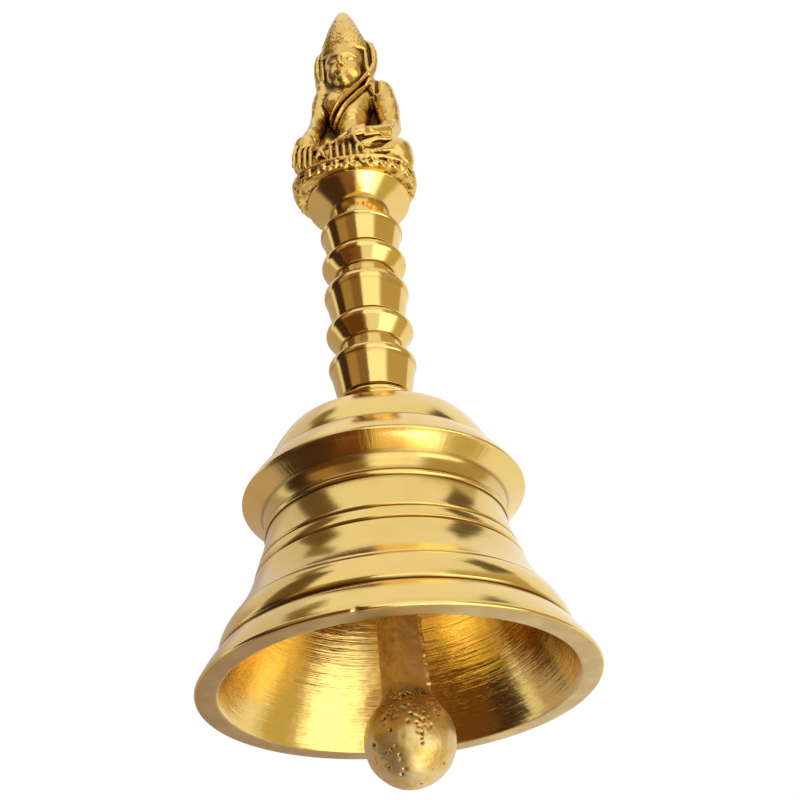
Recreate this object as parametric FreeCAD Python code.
import FreeCAD, Part
import math
import os

# A brass hand bell: a turned bell, a turned handle that ends in a cast seated figure on a lotus seat,
# and a rough cast clapper that hangs by a wire link from an eye stud through the crown.
# Millimetres. The origin is the centre of the mouth, on the plane of the lip. +Z runs up the handle,
# and the figure faces -Y.

# Driving dimensions of the bell
MOUTH_R = 35.0                  # outside of the lip
LIP_FACE = 3.8                  # width of the flat ring that the bell ends in
CROWN_Z = 56.0                  # flat top of the crown, where the handle stands
CROWN_R = 8.6
WALL = 2.3                      # wall of the bell's waist
CROWN_WALL = 3.6
GROOVE = 0.4                    # depth of a turned groove

# Driving dimensions of the handle
NECK_R = 6.1
DRUM_FOOT_R = 7.2
DRUM_RIM_R = 8.6
RIM_BULGE = 0.2
FUNNEL_Z = 108.3                # where the neck starts to flare
SEAT_Z = 112.0                  # top of the handle, under the lotus seat
FUNNEL_R = 11.2

# Driving dimensions of the finial
SEAT_R = 12.0
SEAT_FORWARD = 1.2              # the seat's centre lies in front of the stem's axis
SEAT_T = 2.3
PETALS = 18
TIP_Z = 174.0                   # tip of the headdress

# Threaded pieces
THREAD_R = 2.5                  # crest of a stud's thread
THREAD_DEPTH = 0.4
PITCH = 0.8
THREAD_GAP = 0.04               # between a stud and its female thread
COUNTERSINK_R = 2.8
STUD_END_GAP = 0.6              # left in the bottom of a blind hole
HANDLE_HOLE_DEPTH = 12.0
TOP_HOLE_DEPTH = 8.4
SEAT_HOLE_DEPTH = 6.4

# Hanger inside the crown
HOLE_R = 2.7                    # clearance hole in the crown
WASHER_R = 5.5
WASHER_T = 0.8
NUT_FLAT = 8.0                  # across flats
NUT_T = 2.8
EYE_R = 3.2                     # centre line of the crown eye
EYE_WIRE_R = 1.2
LINK_R = 3.6                    # centre line of the link
LINK_WIRE_R = 0.8
CLAPPER_EYE_R = 2.8
CLAPPER_EYE_WIRE_R = 1.0
HANG_GAP = 0.15                 # running clearance where one ring hangs in another

# Clapper
BALL_R = 7.8
BALL_Z = -8.8
BALL_ASIDE = 0.9                # the casting is a little crooked, so its ball hangs off the axis
ROD_WIDTH = 6.0
ROD_DEPTH = 5.6
ROD_TURN = 35.0                 # degrees that the rod's broad face turns from the front

# Heights that follow from the sizes above
CROWN_INSIDE_Z = CROWN_Z - CROWN_WALL
NUT_TOP_Z = CROWN_INSIDE_Z - WASHER_T
NUT_FOOT_Z = NUT_TOP_Z - NUT_T
EYE_Z = NUT_FOOT_Z - 0.4 - EYE_WIRE_R - EYE_R
LINK_TOP_Z = EYE_Z - EYE_R + EYE_WIRE_R + LINK_WIRE_R + HANG_GAP
LINK_Z = LINK_TOP_Z - LINK_R
CLAPPER_BAR_Z = LINK_Z - LINK_R + LINK_WIRE_R + CLAPPER_EYE_WIRE_R + HANG_GAP
CLAPPER_EYE_Z = CLAPPER_BAR_Z - CLAPPER_EYE_R
ROD_TOP_Z = CLAPPER_EYE_Z - CLAPPER_EYE_R - 0.5
SEAT_TOP_Z = SEAT_Z + SEAT_T

UP = FreeCAD.Vector(0, 0, 1)
CENTRE = FreeCAD.Vector(0, 0, 0)


def outline(start, *steps):
    """A closed outline of (radius, height) points. A step is a point, or an arc's middle and end."""
    edges = []
    here = FreeCAD.Vector(start[0], 0, start[1])
    for step in steps:
        if isinstance(step[0], tuple):
            middle, end = [FreeCAD.Vector(r, 0, z) for r, z in step]
            edges.append(Part.Arc(here, middle, end).toShape())
            here = end
        else:
            there = FreeCAD.Vector(step[0], 0, step[1])
            if there.distanceToPoint(here) > 1e-6:
                edges.append(Part.makeLine(here, there))
            here = there
    first = FreeCAD.Vector(start[0], 0, start[1])
    if here.distanceToPoint(first) > 1e-6:
        edges.append(Part.makeLine(here, first))
    return Part.Face(Part.Wire(edges))


def turned(start, *steps):
    """A solid turned about Z from an outline of (radius, height) points."""
    return outline(start, *steps).revolve(CENTRE, UP, 360)


def limb(points, radius):
    """A round limb through a few points, with a slightly fuller ball at each joint and end."""
    pieces = [Part.makeSphere(radius * 1.06, FreeCAD.Vector(*point)) for point in points]
    for start, end in zip(points, points[1:]):
        a = FreeCAD.Vector(*start)
        b = FreeCAD.Vector(*end)
        pieces.append(Part.makeCylinder(radius, a.distanceToPoint(b), a, b - a))
    return pieces[0].fuse(pieces[1:])


def threaded(radius, z_low, z_high):
    """A bar with thread grooves, cut as rings one pitch apart. Male and female grooves share one grid."""
    root = radius - THREAD_DEPTH
    steps = [(root, z_low)]
    first = math.ceil(z_low / PITCH)
    last = math.floor(z_high / PITCH)
    for turn in range(first, last):
        steps.append((root, turn * PITCH))
        steps.append((radius, (turn + 0.5) * PITCH))
    steps.append((root, last * PITCH))
    steps.append((root, z_high))
    steps.append((0, z_high))
    return turned((0, z_low), *steps)


def threaded_hole(z_low, z_high, mouths):
    """The space to cut for a threaded hole, with a countersink at each open mouth."""
    root = THREAD_R + THREAD_GAP - THREAD_DEPTH
    space = threaded(THREAD_R + THREAD_GAP, z_low, z_high)
    for mouth in mouths:
        inwards = FreeCAD.Vector(0, 0, 1 if mouth == z_low else -1)
        place = FreeCAD.Vector(0, 0, mouth)
        space = space.fuse(Part.makeCone(COUNTERSINK_R, root, COUNTERSINK_R - root, place, inwards))
    return space


def bell_shell():
    """The bell: flared lip, turned bands, waist with grooves and a bead, flange and domed crown."""
    lip_band_top = 6.5
    bow_top = 12.1
    waist_groove = 20.8
    upper_groove = 23.5
    bead = 30.7
    flange_r = 26.5
    flange = 37.2
    shoulder = 42.3
    outside = [
        (MOUTH_R - 0.3, 0),
        ((MOUTH_R, 0.3), (MOUTH_R - 0.2, 0.8)),
        ((33.5, 3.2), (31.2, lip_band_top - 0.3)),
        (31.2 - GROOVE, lip_band_top),
        (31.2, lip_band_top + 0.4),
        ((30.6, 9.4), (29.2, bow_top - 0.2)),
        (28.9, bow_top),
        (28.9, bow_top + 0.2),
        ((26.3, 16.4), (24.7, waist_groove - 0.3)),
        (24.5 - GROOVE, waist_groove),
        (24.6, waist_groove + 0.3),
        ((24.3, 22.2), (23.9, upper_groove - 0.3)),
        (23.8 - GROOVE, upper_groove),
        (23.8, upper_groove + 0.3),
        ((22.8, 27.0), (22.2, bead - 0.5)),
        ((22.7, bead), (22.2, bead + 0.5)),
        ((22.2, 33.0), (22.8, 34.5)),
        (flange_r - 0.3, flange - 0.3),
        ((flange_r, flange), (flange_r - 0.3, flange + 0.3)),
        ((24.9, 39.6), (22.9, shoulder - 0.1)),
        (22.4, shoulder),
        ((20.9, 46.0), (18.4, 50.0)),
        ((13.8, 53.1), (CROWN_R, CROWN_Z - 0.2)),
        (CROWN_R - 0.2, CROWN_Z),
        (HOLE_R, CROWN_Z),
    ]
    inside = [
        (HOLE_R, CROWN_INSIDE_Z),
        (7.5, CROWN_INSIDE_Z),
        ((14.6, 49.9), (18.6, 44.0)),
        ((19.4, 38.4), (22.2 - WALL, bead)),
        ((20.9, 24.6), (23.0, 18.0)),
        ((26.4, 9.8), (30.6, 1.2)),
    ]
    return turned((MOUTH_R - LIP_FACE, 0), *outside, *inside)


def handle_sections():
    """Foot height and radius, rim height and radius, and top of each drum and ring, going up."""
    drum = (DRUM_FOOT_R, DRUM_RIM_R)
    ring = (NECK_R + 0.4, DRUM_RIM_R + 0.1)
    return [
        (CROWN_Z, DRUM_FOOT_R, 57.8, 8.0, 58.7),
        (59.9, drum[0], 66.9, drum[1], 68.7),
        (72.6, ring[0], 75.2, ring[1], 77.1),
        (78.4, drum[0], 84.8, drum[1], 87.2),
        (90.9, ring[0], 92.9, ring[1], 94.8),
        (96.3, drum[0], 101.9, drum[1], 102.9),
    ]


def handle_stem():
    """The turned stem: each drum and ring is a cup with a cone below, a full rim and a neck above."""
    sections = handle_sections()
    neck_tops = [section[0] for section in sections[1:]] + [FUNNEL_Z]
    steps = []
    for section, neck_top in zip(sections, neck_tops):
        foot_z, foot_r, rim_z, rim_r, top_z = section
        rim_mid = (rim_z + top_z) / 2
        steps.append((foot_r, foot_z))
        steps.append((rim_r - 0.1, rim_z))
        steps.append(((rim_r + RIM_BULGE, rim_mid), (rim_r - 0.3, top_z)))
        steps.append((NECK_R, top_z + 0.5))
        steps.append((NECK_R, neck_top))
    steps.append(((NECK_R + 0.1, FUNNEL_Z + 0.25), (NECK_R + 0.4, FUNNEL_Z + 0.45)))
    steps.append((FUNNEL_R, SEAT_Z - 0.5))
    steps.append((FUNNEL_R, SEAT_Z))
    steps.append((0, SEAT_Z))
    stem = turned((0, CROWN_Z), *steps)
    foot_hole = threaded_hole(CROWN_Z, CROWN_Z + HANDLE_HOLE_DEPTH, [CROWN_Z])
    top_hole = threaded_hole(SEAT_Z - TOP_HOLE_DEPTH, SEAT_Z, [SEAT_Z])
    return stem.cut(foot_hole).cut(top_hole)


def lotus_seat():
    """The round seat with a row of lotus petals standing out of its edge."""
    seat = turned(
        (0, SEAT_Z),
        (SEAT_R - 0.8, SEAT_Z),
        ((SEAT_R, SEAT_Z + 0.7), (SEAT_R + 0.3, SEAT_TOP_Z - 0.5)),
        (SEAT_R + 0.1, SEAT_TOP_Z),
        (0, SEAT_TOP_Z),
    )
    petals = []
    for index in range(PETALS):
        turn = 2 * math.pi * index / PETALS
        petal_r = SEAT_R - 0.5
        centre = FreeCAD.Vector(petal_r * math.cos(turn), petal_r * math.sin(turn), SEAT_Z + 1.3)
        petals.append(Part.makeSphere(1.2, centre))
    return seat.fuse(petals).translated(FreeCAD.Vector(0, -SEAT_FORWARD, 0))


def seated_figure():
    """A calm figure seated cross-legged, with one hand in its lap and the other over its knee."""
    lap = SEAT_TOP_Z + 9.2
    shoulder = SEAT_TOP_Z + 32.0
    chin = SEAT_TOP_Z + 31.2
    brow = chin + 12.6
    hips = turned(
        (0, SEAT_TOP_Z - 0.4),
        (9.0, SEAT_TOP_Z - 0.4),
        ((10.6, SEAT_TOP_Z + 3.9), (8.4, lap - 1.0)),
        (6.5, lap),
        (0, lap),
    )
    torso = turned(
        (0, lap - 0.5),
        (5.9, lap - 0.5),
        ((5.2, lap + 4.0), (5.9, lap + 9.0)),
        ((6.5, lap + 15.0), (5.4, shoulder - 0.2)),
        (2.9, shoulder + 3.4),
        (0, shoulder + 3.4),
    )
    head = turned(
        (0, chin - 1.5),
        (3.0, chin - 1.5),
        ((5.1, chin + 5.0), (5.3, brow)),
        ((4.1, brow + 7.2), (2.2, TIP_Z - 2.3)),
        ((1.3, TIP_Z - 0.6), (0.4, TIP_Z)),
        (0, TIP_Z),
    )
    parts = [
        torso.translated(FreeCAD.Vector(0, 0.9, 0)),
        head.translated(FreeCAD.Vector(0, -0.3, 0)),
        limb([(-10.0, -3.6, lap - 4.6), (2.6, -8.6, lap - 5.4)], 3.0),
        limb([(10.0, -3.4, lap - 4.2), (-2.2, -8.0, lap - 3.6)], 3.1),
        limb([(-6.2, 0.7, shoulder - 1.2), (-9.0, -1.2, lap + 9.0), (-10.2, -7.0, lap - 2.4)], 2.1),
        limb([(6.8, 0.8, shoulder - 1.0), (8.1, -1.1, lap + 9.5), (1.2, -7.2, lap + 3.4)], 2.3),
        limb([(-5.4, -0.2, brow), (-5.7, 0.1, chin + 4.4)], 1.2),
        limb([(5.4, -0.2, brow), (5.7, 0.1, chin + 4.4)], 1.2),
    ]
    return hips.translated(FreeCAD.Vector(0, -1.4, 0)).fuse(parts)


def finial_figure():
    """The cast finial in one piece, with a blind threaded hole under its seat."""
    casting = lotus_seat().fuse(seated_figure())
    return casting.cut(threaded_hole(SEAT_Z, SEAT_Z + SEAT_HOLE_DEPTH, [SEAT_Z]))


def finial_stud():
    """The threaded stud between the stem and the seat."""
    foot = SEAT_Z - TOP_HOLE_DEPTH + STUD_END_GAP
    return threaded(THREAD_R, foot, SEAT_Z + SEAT_HOLE_DEPTH - STUD_END_GAP)


def eye_stud():
    """The threaded stud through the crown, with the eye that the link hangs in."""
    eye = Part.makeTorus(EYE_R, EYE_WIRE_R, FreeCAD.Vector(0, 0, EYE_Z), FreeCAD.Vector(1, 0, 0))
    neck_foot = EYE_Z + EYE_R
    root = THREAD_R - THREAD_DEPTH
    neck = Part.makeCone(1.3, root, NUT_FOOT_Z - neck_foot, FreeCAD.Vector(0, 0, neck_foot))
    thread = threaded(THREAD_R, NUT_FOOT_Z, CROWN_Z + HANDLE_HOLE_DEPTH - STUD_END_GAP)
    return eye.fuse([neck, thread])


def crown_washer():
    """The flat washer under the nut."""
    disc = Part.makeCylinder(WASHER_R, WASHER_T, FreeCAD.Vector(0, 0, NUT_TOP_Z))
    return disc.cut(Part.makeCylinder(HOLE_R, WASHER_T, FreeCAD.Vector(0, 0, NUT_TOP_Z)))


def crown_nut():
    """The hexagon nut inside the crown, with bevelled corners."""
    corner_r = NUT_FLAT / math.sqrt(3)
    corners = []
    for index in range(7):
        turn = math.radians(60 * index)
        x = corner_r * math.cos(turn)
        corners.append(FreeCAD.Vector(x, corner_r * math.sin(turn), NUT_FOOT_Z))
    prism = Part.Face(Part.makePolygon(corners)).extrude(FreeCAD.Vector(0, 0, NUT_T))
    bevel_r = NUT_FLAT / 2
    bevel = turned(
        (0, NUT_FOOT_Z),
        (bevel_r, NUT_FOOT_Z),
        (corner_r, NUT_FOOT_Z + 0.4),
        (corner_r, NUT_TOP_Z),
        (0, NUT_TOP_Z),
    )
    hole = threaded_hole(NUT_FOOT_Z, NUT_TOP_Z, [NUT_FOOT_Z, NUT_TOP_Z])
    return prism.common(bevel).cut(hole)


def clapper_link():
    """The closed wire ring that hangs in the crown eye and carries the clapper."""
    centre = FreeCAD.Vector(0, 0, LINK_Z)
    return Part.makeTorus(LINK_R, LINK_WIRE_R, centre, FreeCAD.Vector(0, 1, 0))


def rod_section(aside, z, width, depth):
    """The four-sided section of the clapper's rod at one height, as a closed wire."""
    corners = []
    for x, y in ((1, 1), (-1, 1), (-1, -1), (1, -1), (1, 1)):
        corners.append(FreeCAD.Vector(x * width / 2, y * depth / 2, z))
    section = Part.makePolygon(corners)
    section.rotate(CENTRE, UP, ROD_TURN)
    section.translate(FreeCAD.Vector(aside, 0, 0))
    return section


def clapper():
    """The rough casting: ball, flare, four-sided rod and the eye at its top."""
    ball_top = BALL_Z + BALL_R
    sections = [
        rod_section(BALL_ASIDE, ball_top - 1.5, ROD_WIDTH + 0.3, ROD_DEPTH + 0.3),
        rod_section(0, ROD_TOP_Z, ROD_WIDTH - 0.8, ROD_DEPTH - 0.8),
    ]
    rod = Part.makeLoft(sections, True, True)
    ball = Part.makeSphere(BALL_R, FreeCAD.Vector(BALL_ASIDE, 0, BALL_Z))
    flare = Part.makeCone(5.0, 3.4, 4.0, FreeCAD.Vector(BALL_ASIDE, 0, ball_top - 1.8))
    eye_place = FreeCAD.Vector(0, 0, CLAPPER_EYE_Z)
    eye = Part.makeTorus(CLAPPER_EYE_R, CLAPPER_EYE_WIRE_R, eye_place, FreeCAD.Vector(1, 0, 0))
    return ball.fuse([flare, rod, eye])


PIECES = (
    bell_shell,
    handle_stem,
    finial_figure,
    finial_stud,
    eye_stud,
    crown_washer,
    crown_nut,
    clapper_link,
    clapper,
)


def main():
    """Writes one STEP file for each piece, named after the function that makes it."""
    os.makedirs("parts", exist_ok=True)
    for piece in PIECES:
        shape = piece()
        solids = shape.Solids
        if len(solids) != 1 or not shape.isValid():
            raise ValueError(f"{piece.__name__} isn't one valid solid")
        solids[0].exportStep(f"parts/{piece.__name__}.step")
        print(piece.__name__, round(solids[0].Volume, 1), "mm3")


main()
